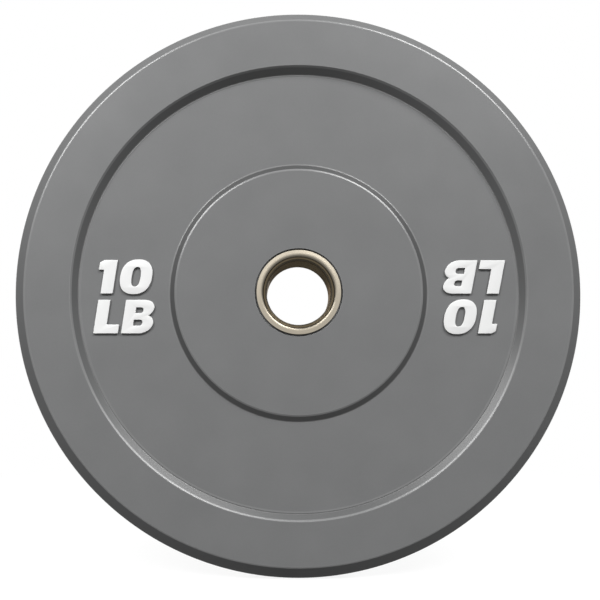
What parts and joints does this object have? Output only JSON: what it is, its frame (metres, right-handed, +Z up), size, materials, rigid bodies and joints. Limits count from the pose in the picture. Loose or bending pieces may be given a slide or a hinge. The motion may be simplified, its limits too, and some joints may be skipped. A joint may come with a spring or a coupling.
{
  "type": "bumper plate",
  "caption": "Round rubber weight plate with a bevelled rim, recessed web, raised centre pad and flanged steel hub for a barbell sleeve.",
  "frame": {"origin": "on the bore's axis, halfway through the plate's thickness", "axes": "+Y along the bore from the front face to the back face, +Z up with the plate standing on its rim, +X to the right seen from the front"},
  "size_m": [0.4494, 0.028, 0.4494],
  "materials": {
    "rubber": "matte grey moulded rubber",
    "sleeve_steel": "bored steel with a warm nickel tone",
    "collar_steel": "turned and nickel plated, champagne tone",
    "anchor_steel": "plain steel, hidden in the rubber"
  },
  "bodies": {
    "root": {"rubber_body": "rubber", "hub_sleeve": "sleeve_steel", "anchor_ring": "anchor_steel", "front_collar": "collar_steel", "back_collar": "collar_steel"}
  },
  "joints": []
}
